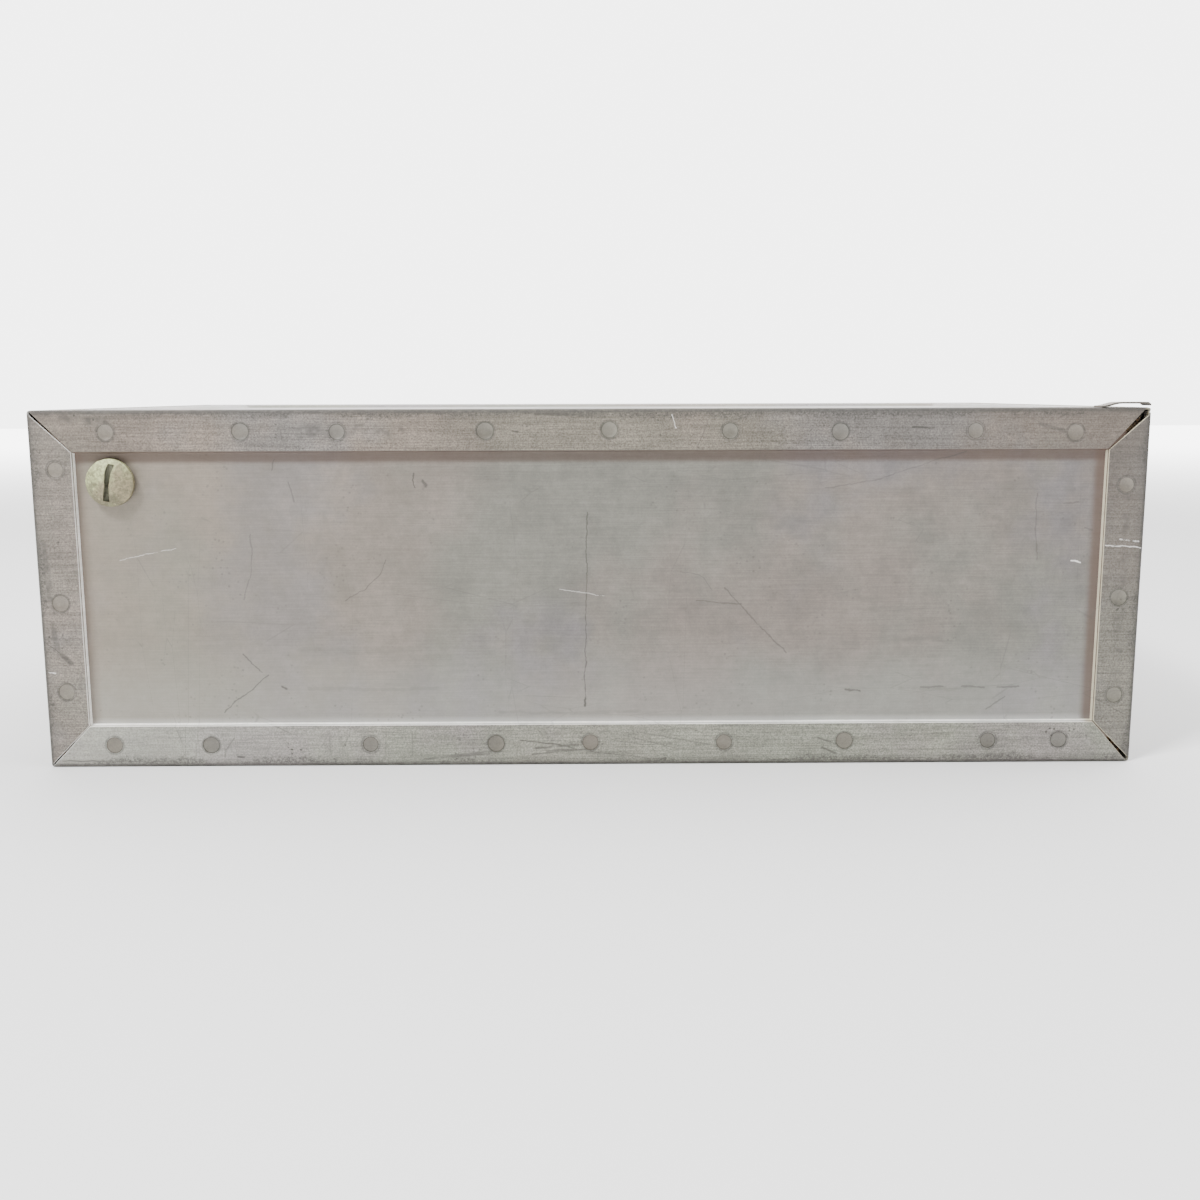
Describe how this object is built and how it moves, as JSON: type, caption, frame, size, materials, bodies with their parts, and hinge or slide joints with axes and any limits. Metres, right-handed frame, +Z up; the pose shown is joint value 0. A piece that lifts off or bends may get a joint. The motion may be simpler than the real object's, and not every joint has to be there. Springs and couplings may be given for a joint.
{
  "type": "milk delivery box",
  "caption": "Insulated sheet-metal delivery box with mitred spot-welded corner strips, a flush hinged lid, a slotted turn lock and end handles.",
  "frame": {"origin": "on the ground under the middle of the closed box's bounding box", "axes": "+X to the right along the width, +Y to the back, +Z up; the lock is in the front, which faces -Y"},
  "size_m": [0.6334, 0.3348, 0.202],
  "materials": {
    "corner_strip": "worn, dull, spot-welded and grimy along the folds",
    "panel": "dull, finely brushed, mottled and scratched",
    "lid_sheet": "dull, finely brushed and scratched",
    "liner_zinc": "bright sheet gone dull",
    "cast_head": "pale, grainy casting",
    "steel_fitting": "aged plated steel",
    "fitting_alloy": "worn cast alloy",
    "rivet_aluminium": "dull",
    "pine": "bare softwood",
    "cork_board": "granulated cork board",
    "seal_rubber": "matt"
  },
  "bodies": {
    "case": {"strip_front_top": "corner_strip", "strip_front_bottom": "corner_strip", "strip_front_left": "corner_strip", "strip_front_right": "corner_strip", "strip_back_top": "corner_strip", "strip_back_bottom": "corner_strip", "strip_back_left": "corner_strip", "strip_back_right": "corner_strip", "strip_left_top": "corner_strip", "strip_left_bottom": "corner_strip", "strip_right_top": "corner_strip", "strip_right_bottom": "corner_strip", "panel_front": "panel", "panel_back": "panel", "panel_left": "panel", "panel_right": "panel", "panel_bottom": "panel", "insulation_front": "cork_board", "insulation_back": "cork_board", "insulation_left": "cork_board", "insulation_right": "cork_board", "insulation_floor": "cork_board", "batten_front": "pine", "batten_back": "pine", "batten_left": "pine", "batten_right": "pine", "liner_floor": "liner_zinc", "liner_front": "liner_zinc", "liner_back": "liner_zinc", "liner_left": "liner_zinc", "liner_right": "liner_zinc", "rim_screws": "steel_fitting", "hinge_leaf_case": "steel_fitting", "hinge_pin": "steel_fitting", "hinge_screws_case": "steel_fitting", "lock_sleeve": "steel_fitting", "lock_washer": "steel_fitting", "lock_nut": "steel_fitting", "handle_plate_left": "fitting_alloy", "handle_plate_right": "fitting_alloy", "handle_rivets": "rivet_aluminium"},
    "lid": {"hinge_leaf_lid": "steel_fitting", "hinge_screws_lid": "steel_fitting", "lid_pan": "lid_sheet", "lid_tray": "liner_zinc", "lid_frame": "pine", "lid_insulation": "cork_board", "lid_seal": "seal_rubber", "keeper": "steel_fitting", "keeper_screws": "steel_fitting", "pull_cup": "fitting_alloy", "pull_screws": "steel_fitting"},
    "lock": {"turn_head": "cast_head", "lock_cam": "steel_fitting", "cam_screw": "steel_fitting"},
    "pull": {"pull_bail": "fitting_alloy"},
    "handle_left": {"handle_bail_left": "fitting_alloy"},
    "handle_right": {"handle_bail_right": "fitting_alloy"}
  },
  "joints": [
    {"name": "lid_hinge", "type": "hinge", "parent": "case", "child": "lid", "pos_m": [0, 0.1409, 0.196], "axis": [-1, 0, 0], "range_deg": [0, 95]},
    {"name": "lock_turn", "type": "hinge", "parent": "case", "child": "lock", "pos_m": [-0.2618, -0.1626, 0.16], "axis": [0, 1, 0], "range_deg": [-7.5, 82.5]},
    {"name": "pull_lift", "type": "hinge", "parent": "lid", "child": "pull", "pos_m": [0, -0.0671, 0.1934], "axis": [-1, 0, 0], "range_deg": [0, 100]},
    {"name": "handle_left_swing", "type": "hinge", "parent": "case", "child": "handle_left", "pos_m": [-0.3102, 0.0024, 0.123], "axis": [0, 1, 0], "range_deg": [0, 90]},
    {"name": "handle_right_swing", "type": "hinge", "parent": "case", "child": "handle_right", "pos_m": [0.3102, 0.0024, 0.123], "axis": [0, -1, 0], "range_deg": [0, 90]}
  ]
}
